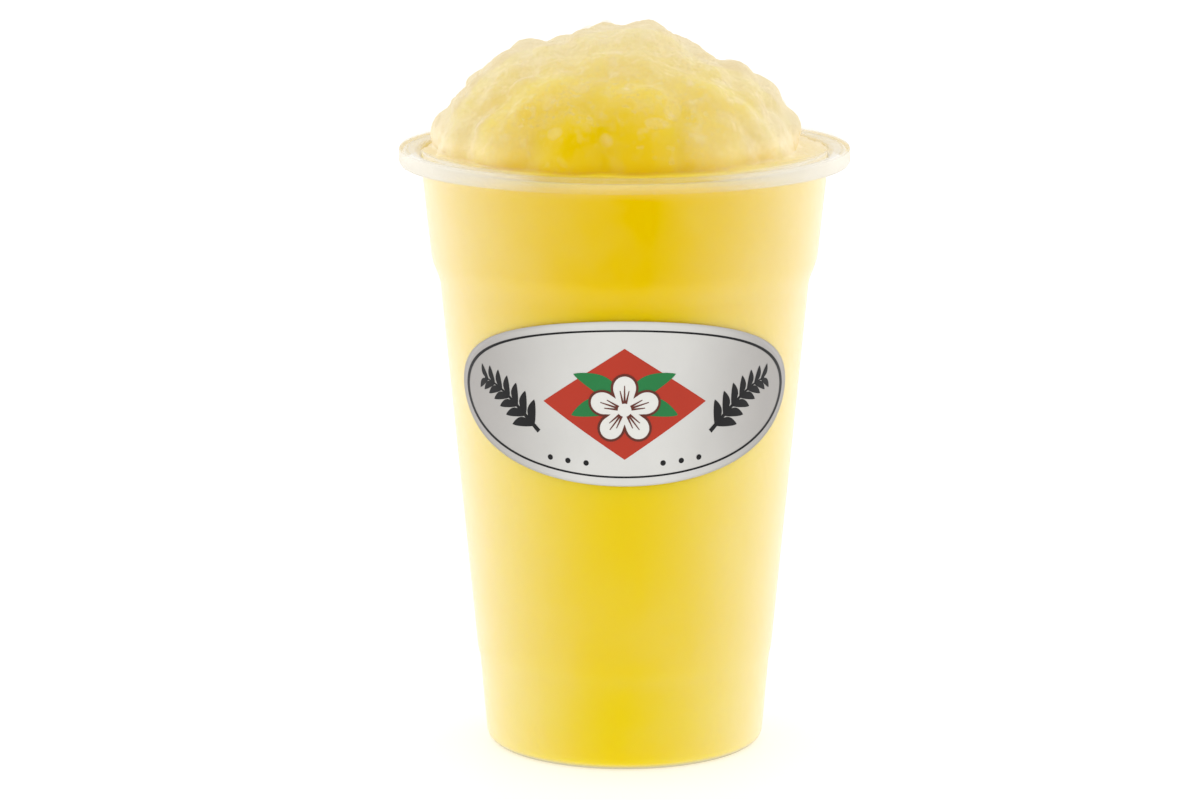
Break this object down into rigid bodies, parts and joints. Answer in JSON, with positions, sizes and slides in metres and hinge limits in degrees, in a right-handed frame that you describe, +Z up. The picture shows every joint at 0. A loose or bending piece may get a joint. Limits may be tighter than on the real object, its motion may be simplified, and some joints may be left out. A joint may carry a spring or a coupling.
{
  "type": "mango slush in a plastic cup",
  "caption": "Tall tapered plastic cup with a rolled lip, full of mango slush heaped in a rough icy dome above the lip, with an oval label on the front; a cold drink to go.",
  "frame": {"origin": "centre of the foot, in the plane the cup stands on", "axes": "+Z up along the cup's axis; the label faces -Y; +X is to the right as seen from the front"},
  "size_m": [0.095, 0.095, 0.1548],
  "materials": {
    "cup": "thin frosted polypropylene, translucent and smooth",
    "slush": "wet crushed ice in mango puree, golden yellow, paler and icier on top",
    "label": "satin coated paper, silver grey with a plain printed motif"
  },
  "bodies": {
    "root": {"cup": "cup", "slush": "slush", "label": "label"}
  },
  "joints": []
}
